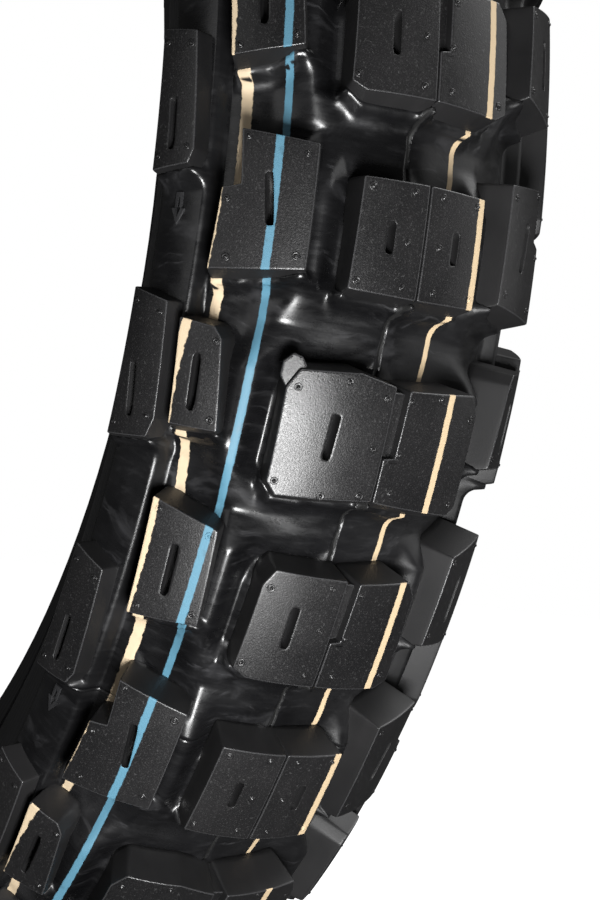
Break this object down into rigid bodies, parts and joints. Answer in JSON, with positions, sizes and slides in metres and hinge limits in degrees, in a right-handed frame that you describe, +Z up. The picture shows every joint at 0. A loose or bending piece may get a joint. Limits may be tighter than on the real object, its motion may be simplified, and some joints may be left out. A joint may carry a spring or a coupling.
{
  "type": "motorcycle tire",
  "caption": "Knobby adventure motorcycle tyre, five-row block tread with tie bars, side lugs, plies, belts and wire beads, no rim fitted.",
  "frame": {"origin": "centre of the wheel, on the axle line, midway between the sidewalls", "axes": "+Y along the axle to the tyre's right side, +Z up, +X from the axle through the middle of the tread"},
  "size_m": [0.65, 0.1286, 0.65],
  "materials": {
    "tread_rubber": "matte-satin moulded black rubber",
    "groove_rubber": "semi-gloss moulded black rubber",
    "sidewall_rubber": "satin black rubber",
    "chafer_rubber": "smooth black rubber",
    "liner_rubber": "dull black rubber",
    "filler_rubber": "hard black rubber",
    "ply_fabric": "rubber-coated textile cord",
    "belt_fabric": "rubber-coated cord belt",
    "bead_wire": "bronze-plated steel wire"
  },
  "bodies": {
    "root": {"bead_core_left": "bead_wire", "bead_core_right": "bead_wire", "bead_filler_left": "filler_rubber", "bead_filler_right": "filler_rubber", "breaker_belt_inner": "belt_fabric", "breaker_belt_outer": "belt_fabric", "cap_ply": "ply_fabric", "carcass_ply_inner": "ply_fabric", "carcass_ply_outer": "ply_fabric", "centre_block_large_left": "tread_rubber", "centre_block_large_right": "tread_rubber", "centre_block_medium_left": "tread_rubber", "centre_block_medium_right": "tread_rubber", "centre_block_small_left": "tread_rubber", "centre_block_small_right": "tread_rubber", "chafer_left": "chafer_rubber", "chafer_right": "chafer_rubber", "inner_liner": "liner_rubber", "lug_saddles": "groove_rubber", "narrow_block_left": "tread_rubber", "narrow_block_right": "tread_rubber", "notched_block_left": "tread_rubber", "notched_block_right": "tread_rubber", "rim_line_rib_left": "sidewall_rubber", "rim_line_rib_right": "sidewall_rubber", "rotation_arrows_left": "sidewall_rubber", "rotation_arrows_right": "sidewall_rubber", "shoulder_lug_long_left": "tread_rubber", "shoulder_lug_long_right": "tread_rubber", "shoulder_lug_short_left": "tread_rubber", "shoulder_lug_short_right": "tread_rubber", "sidewall_left": "sidewall_rubber", "sidewall_right": "sidewall_rubber", "slanted_block_left": "tread_rubber", "slanted_block_right": "tread_rubber", "tie_bars": "groove_rubber", "tread_base": "groove_rubber", "tread_lands": "groove_rubber", "wear_indicator_bars": "groove_rubber"}
  },
  "joints": []
}
